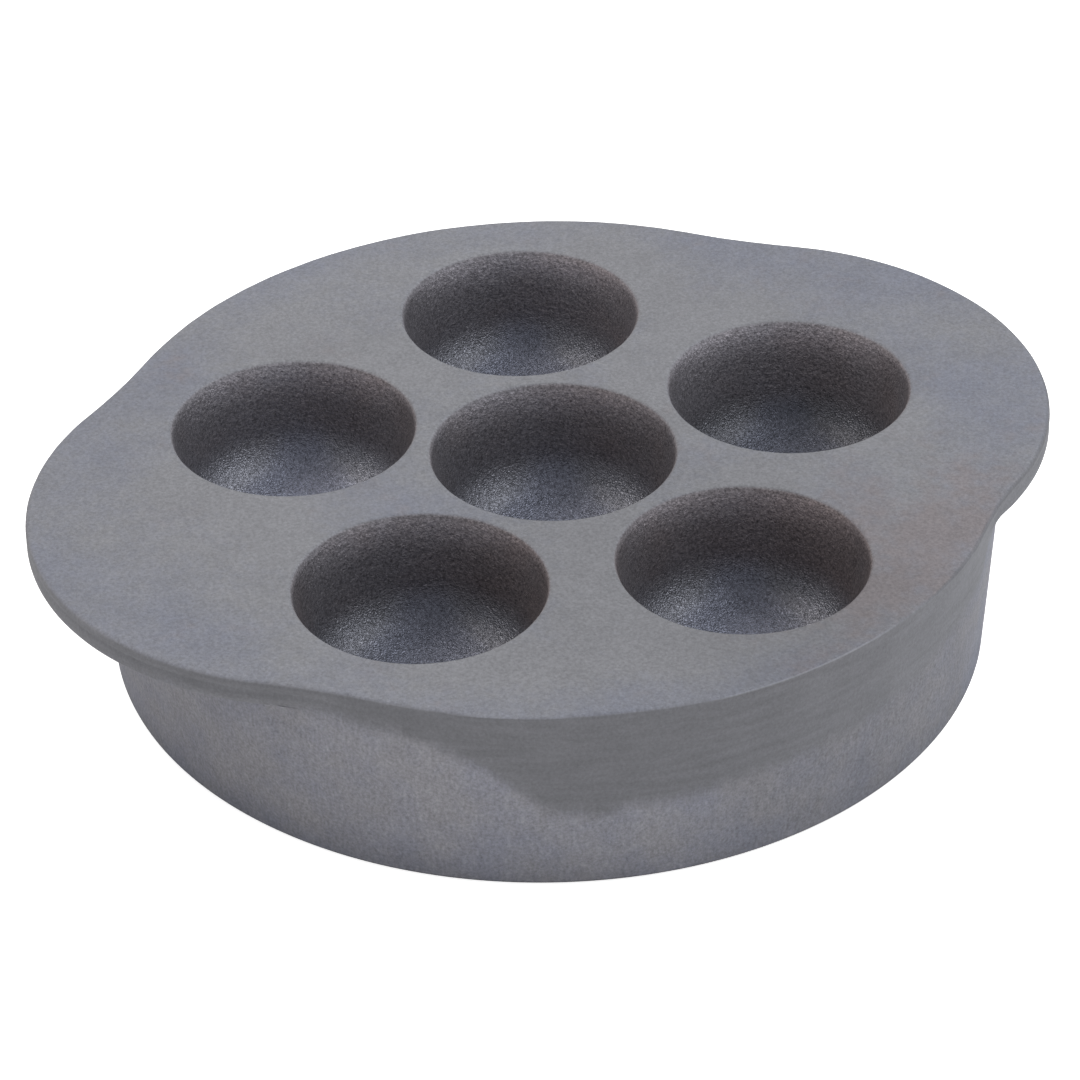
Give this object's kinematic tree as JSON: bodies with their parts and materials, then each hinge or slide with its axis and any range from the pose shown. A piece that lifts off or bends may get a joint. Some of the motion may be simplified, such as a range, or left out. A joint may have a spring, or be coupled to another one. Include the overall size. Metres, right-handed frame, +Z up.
{
  "type": "escargot dish",
  "caption": "Round cast iron dish with cup-shaped wells for baking and serving snails, two ear handles and a skirt wall that it stands on.",
  "frame": {"origin": "centre of the dish's foot, in the plane it stands on", "axes": "+X along the line through the two ears, towards the ear that one well of the ring points at, +Z up out of the wells"},
  "size_m": [0.1514, 0.1284, 0.0288],
  "materials": {
    "cast_iron": "bare grey iron, matte and finely grained, faintly blue and brown in places, with the skirt ground smoother and darker below the plate's edge"
  },
  "bodies": {
    "root": {"dish_casting": "cast_iron"}
  },
  "joints": []
}
